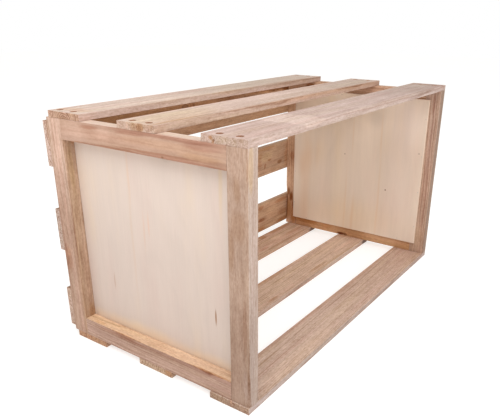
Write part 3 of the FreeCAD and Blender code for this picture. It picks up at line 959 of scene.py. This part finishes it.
# A wane runs along one long edge, (across, through) signs; its size in millimetres is given at
# places along the board. A dent is a rough hollow in one side, (column, sign).
WANES = {
    "left_front_post": [dict(edge=(-1, -1), at=(-142, -128, -95, -60, -50), size=(2.4, 2.0, 1.0, 0.5, 0))],
    "left_bottom_rail": [dict(edge=(1, -1), at=(-121, -84, -50, 10, 30, 55, 90),
                              size=(0.8, 1.1, 0.3, 0.3, 1.1, 1.3, 0))],
    "right_back_post": [dict(edge=(1, -1), at=(-142, -110, -92, -72, -60), size=(2.6, 3.4, 3.6, 2.0, 0))],
    "right_front_post": [dict(edge=(-1, -1), at=(-142, -120, -90, -70), size=(1.6, 1.2, 0.6, 0))],
}
DENTS = {
    "right_bottom_rail": [dict(side=(2, -1), at=(14, -11, -8), reach=(5, 2.6, 9), depth=1.3, torn=0.5)],
    "right_back_post": [dict(side=(2, -1), at=(-92, -3, -8), reach=(16, 5.0, 9), depth=0.9, torn=0.3)],
    "top_slat_front": [dict(side=(0, -1), at=(-270.5, 12.5, -1), reach=(9, 2.2, 3.0), depth=0.5, torn=0)],
}


def build_timber(node, material, seed):
    """Builds a timber or panel and puts it in the place of its CAD node."""
    axes = board_axes(node)
    low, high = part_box(node)
    centre = (Vector(low) + Vector(high)) / 2
    half = np.array([(high[axis] - low[axis]) / 2 / MM for axis in axes])
    wanes, dents = WANES.get(node, ()), DENTS.get(node, ())
    mesh = timber_mesh(node + "_wood", centre, half, axes, seed, wanes, dents)
    piece = bpy.data.objects.new(node + "_wood", mesh)
    bpy.context.scene.collection.objects.link(piece)
    mesh.materials.append(material(node, centre, axes, seed))
    if "slat" in node:
        places, axis, side = nail_places(node)
        cut_pockets(piece, pocket_cutter(places, axis, side, seed), TORN_SHADED)
        sharpen(piece.data, SHARP_ANGLE)
    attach(piece, "root")
    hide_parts(node)


def own_wood(node, centre, axes, seed):
    """The sawn wood of one timber."""
    return wood(node, centre, axes, dict(BASE, **LOOKS[node]), seed)


def own_veneer(node, centre, axes, seed):
    """The plywood of one panel."""
    return veneer(node, centre, axes, dict(SHEET, **PANELS[node]), seed)


TORN_SHADED = torn_wood()
for index, node in enumerate(sorted(LOOKS)):
    build_timber(node, own_wood, WOOD_SEED + SEED_STEP * index)
for index, node in enumerate(sorted(PANELS)):
    build_timber(node, own_veneer, SHEET_SEED + SEED_STEP * index)

NAIL_STEEL = wire_steel("dark_nail_steel", (0.06, 0.035, 0.025), (0.20, 0.15, 0.12))
BRAD_STEEL = wire_steel("brad_steel", (0.30, 0.27, 0.24), (0.52, 0.50, 0.47))
for node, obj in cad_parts.items():
    if "nails" in node or "brads" in node or "staples" in node:
        obj.data.materials.clear()
        obj.data.materials.append(NAIL_STEEL if "nails" in node else BRAD_STEEL)

# ---------------------------------------------------------------- floor, light and camera

FLOOR_SIZE = 6.0             # half of the floor's side, in metres
FLOOR_DROP = 0.0002          # keeps the floor off the crate's underside
FLOOR_GREY = 0.55
FLOOR_GLOW = 0.60            # light the floor gives off, so that it comes out white
WORLD_LIGHT = 0.72           # strength of the surroundings as a light; the camera sees them at 1


def build_floor():
    """A plain white floor that glows a little."""
    size = FLOOR_SIZE
    mesh = bpy.data.meshes.new("floor")
    corners = [(-size, -size, 0), (size, -size, 0), (size, size, 0), (-size, size, 0)]
    mesh.from_pydata(corners, [], [(0, 1, 2, 3)])
    material = bpy.data.materials.new("floor_white")
    material.use_nodes = True
    shader = material.node_tree.nodes["Principled BSDF"]
    shader.inputs["Base Color"].default_value = (FLOOR_GREY,) * 3 + (1,)
    shader.inputs["Roughness"].default_value = 0.9
    shader.inputs["Specular IOR Level"].default_value = 0.1
    shader.inputs["Emission Color"].default_value = (1.0, 0.99, 0.97, 1)
    shader.inputs["Emission Strength"].default_value = FLOOR_GLOW
    mesh.materials.append(material)
    floor = bpy.data.objects.new("floor", mesh)
    floor.location.z = -FLOOR_DROP
    bpy.context.scene.collection.objects.link(floor)


def softbox(name, place, target, size, power):
    """A rectangular area light that faces its target."""
    light = bpy.data.lights.new(name, "AREA")
    light.shape = "RECTANGLE"
    light.size, light.size_y = size
    light.energy = power
    obj = bpy.data.objects.new(name, light)
    obj.location = place
    obj.rotation_euler = (Vector(target) - Vector(place)).to_track_quat("-Z", "Y").to_euler()
    bpy.context.scene.collection.objects.link(obj)


def build_light():
    """Even white surroundings, brighter where the camera sees them, and large softboxes."""
    world = bpy.data.worlds.new("studio")
    bpy.context.scene.world = world
    world.use_nodes = True
    n = Nodes(world.node_tree)
    seen = n.add("ShaderNodeLightPath").outputs["Is Camera Ray"]
    strength = n.math("MULTIPLY_ADD", seen, 1.0 - WORLD_LIGHT, WORLD_LIGHT)
    n.fill(world.node_tree.nodes["Background"], {"Color": (1, 1, 1, 1), "Strength": strength})
    softbox("key", (-1.1, -0.6, 1.4), (-0.2, 0, 0.15), (1.0, 1.0), 11.0)
    softbox("overhead", (-0.2, -0.3, 2.2), (0, 0, 0.15), (1.6, 1.6), 8.0)
    softbox("front", (-0.1, -2.2, 0.9), (0, 0, 0.12), (2.0, 1.4), 15.0)
    bpy.context.scene.view_settings.view_transform = "Standard"


CAMERA_PLACE = (-0.6636, -0.4414, 0.4007)
CAMERA_HEADING = 34.53       # degrees from +X towards +Y
CAMERA_TILT = -22.41
CAMERA_ROLL = 0.36
CAMERA_LENS = 40.05          # millimetres, on the sensor below
SENSOR_WIDTH = 36
CAMERA_SHIFT = (-0.0324, 0.0764)


def build_camera():
    """The camera at the reference view."""
    data = bpy.data.cameras.new("camera")
    data.lens = CAMERA_LENS
    data.sensor_width = SENSOR_WIDTH
    data.shift_x, data.shift_y = CAMERA_SHIFT
    data.clip_start = 0.01
    camera = bpy.data.objects.new("camera", data)
    heading, tilt = math.radians(CAMERA_HEADING), math.radians(CAMERA_TILT)
    forward = Vector((math.cos(heading) * math.cos(tilt), math.sin(heading) * math.cos(tilt), math.sin(tilt)))
    camera.location = CAMERA_PLACE
    roll = Quaternion(forward, math.radians(-CAMERA_ROLL))
    camera.rotation_euler = (roll @ forward.to_track_quat("-Z", "Y")).to_euler()
    bpy.context.scene.collection.objects.link(camera)
    bpy.context.scene.camera = camera


build_floor()
build_light()
build_camera()
